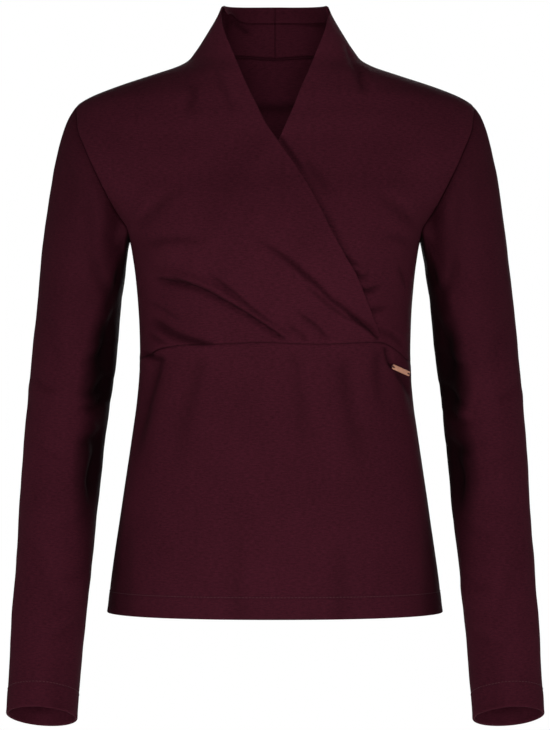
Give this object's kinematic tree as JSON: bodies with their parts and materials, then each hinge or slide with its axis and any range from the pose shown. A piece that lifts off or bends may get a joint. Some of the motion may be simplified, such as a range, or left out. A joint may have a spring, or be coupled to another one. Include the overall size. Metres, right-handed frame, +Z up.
{
  "type": "long sleeve shirt",
  "caption": "Long-sleeved crossover top of fine jersey in its worn form: stand collar grown on to a wrapped front, waist seam, set-in sleeves, plain metal bar tag at the side.",
  "frame": {"origin": "centre line of the neck opening, level with the neck points of the shoulder seams", "axes": "+Z up, front of the garment faces -Y, +X to the wearer's left"},
  "size_m": [0.5204, 0.235, 0.719],
  "materials": {
    "jersey": "fine matt knit",
    "tag": "brushed, rose toned"
  },
  "bodies": {
    "root": {"front_right_upper": "jersey", "front_left_upper": "jersey", "front_lower": "jersey", "back": "jersey", "sleeve_right": "jersey", "sleeve_left": "jersey", "collar_turn_right": "jersey", "collar_turn_left": "jersey", "metal_tag": "tag"}
  },
  "joints": []
}
